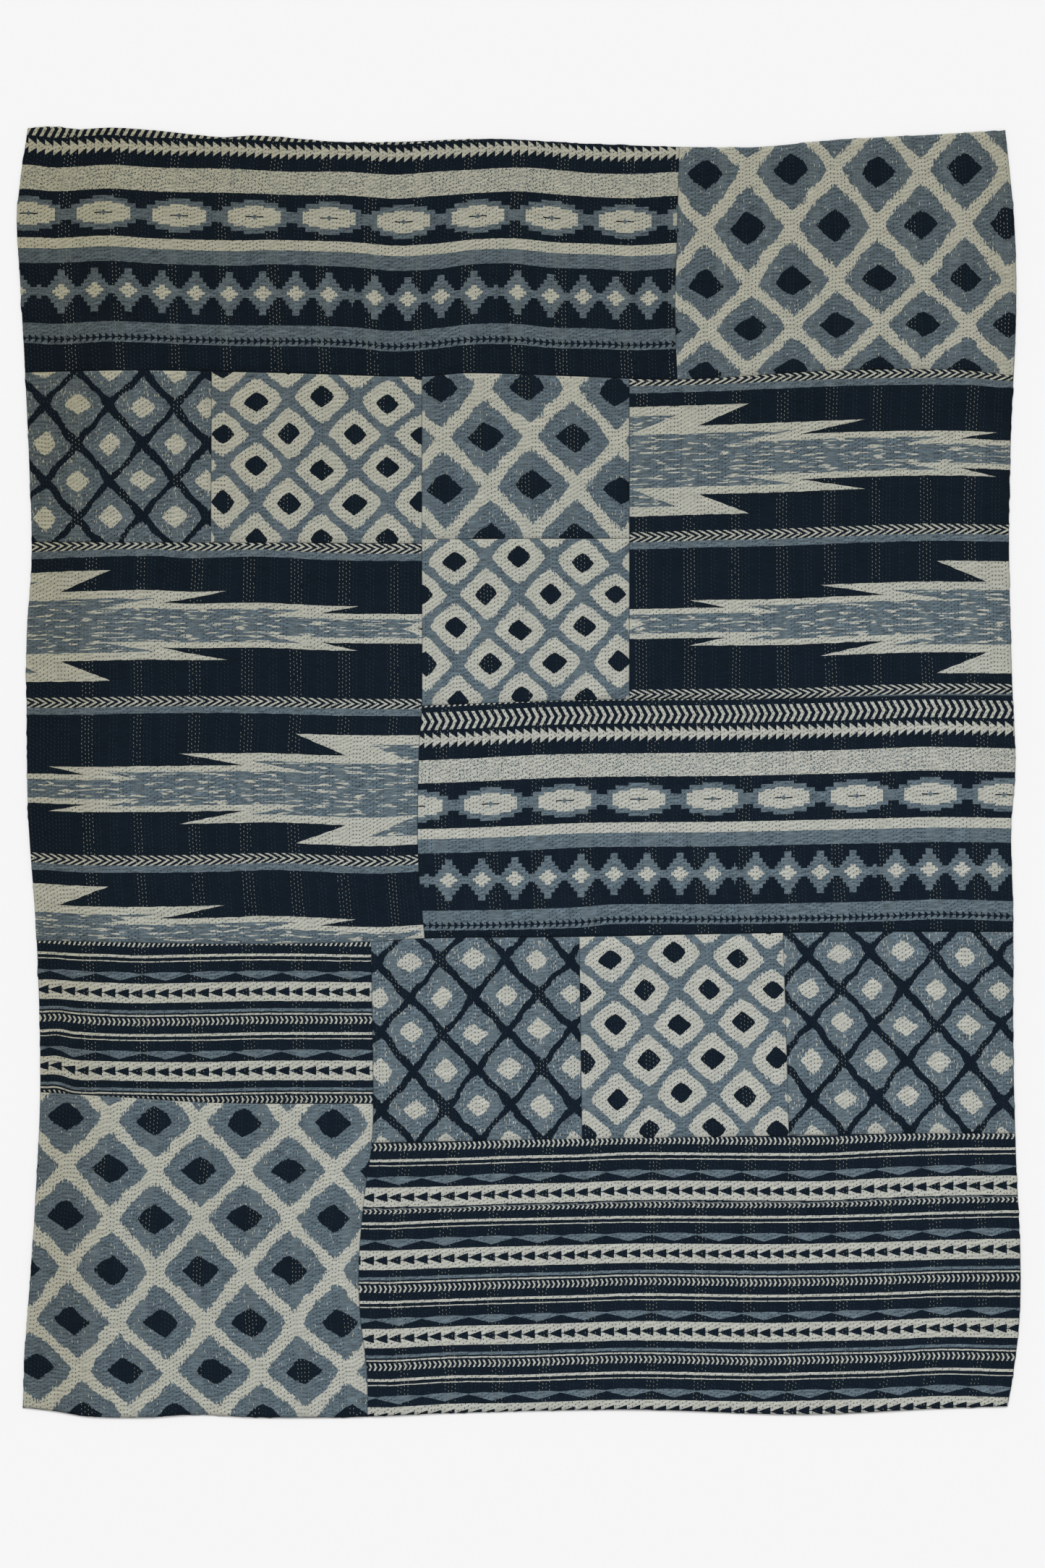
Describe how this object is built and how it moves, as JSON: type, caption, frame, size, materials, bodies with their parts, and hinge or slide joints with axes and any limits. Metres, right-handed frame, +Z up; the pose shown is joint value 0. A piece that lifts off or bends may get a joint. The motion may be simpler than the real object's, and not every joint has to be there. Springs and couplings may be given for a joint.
{
  "type": "kantha quilt",
  "caption": "Flat patchwork cotton throw quilted by hand: indigo, slate blue and ecru prints, a soft turned-in edge, sunk patch seams and rows of running stitch.",
  "frame": {"origin": "on the underside, at the middle of the outline's box", "axes": "+Z up, out of the stitched top; +X across the quilt; +Y along its length, towards the end with the widest banded patch at its left"},
  "size_m": [1.4032, 1.8042, 0.005],
  "materials": {
    "quilted_cotton": "washed printed cotton in indigo, slate blue and ecru, quilted with running stitch"
  },
  "bodies": {
    "root": {"quilt": "quilted_cotton"}
  },
  "joints": []
}
